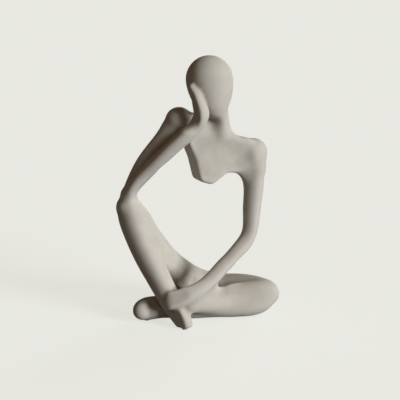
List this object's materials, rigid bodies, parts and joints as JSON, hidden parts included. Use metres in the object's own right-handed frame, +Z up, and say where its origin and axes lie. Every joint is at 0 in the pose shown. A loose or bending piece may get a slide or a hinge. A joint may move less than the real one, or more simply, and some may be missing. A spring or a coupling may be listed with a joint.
{
  "type": "thinker statue",
  "caption": "Abstract seated figure with a plain egg-shaped head propped on its hand, elbow on the raised knee, slim limbs round an open middle; a free-standing sandstone-look ornament.",
  "frame": {"origin": "middle of the footprint, on the surface that the felt pads stand on", "axes": "+Z up, the figure's front faces -Y, +X to the right as the picture shows it"},
  "size_m": [0.1565, 0.0971, 0.25],
  "materials": {
    "sandstone_resin": "matt sandy greige stone-powder resin, fine grain, no gloss",
    "dowel_steel": "plain cut steel rod, sealed inside the castings",
    "pad_felt": "pale self-adhesive felt"
  },
  "bodies": {
    "root": {"head": "sandstone_resin", "torso": "sandstone_resin", "hips": "sandstone_resin", "right_leg": "sandstone_resin", "left_leg": "sandstone_resin", "right_arm": "sandstone_resin", "left_arm": "sandstone_resin", "neck_dowel": "dowel_steel", "right_hip_dowel": "dowel_steel", "left_hip_dowel": "dowel_steel", "right_arm_rod": "dowel_steel", "left_arm_wire": "dowel_steel", "cheek_pin": "dowel_steel", "elbow_pin": "dowel_steel", "ankle_pin": "dowel_steel", "hand_pin": "dowel_steel", "felt_pads": "pad_felt"}
  },
  "joints": []
}
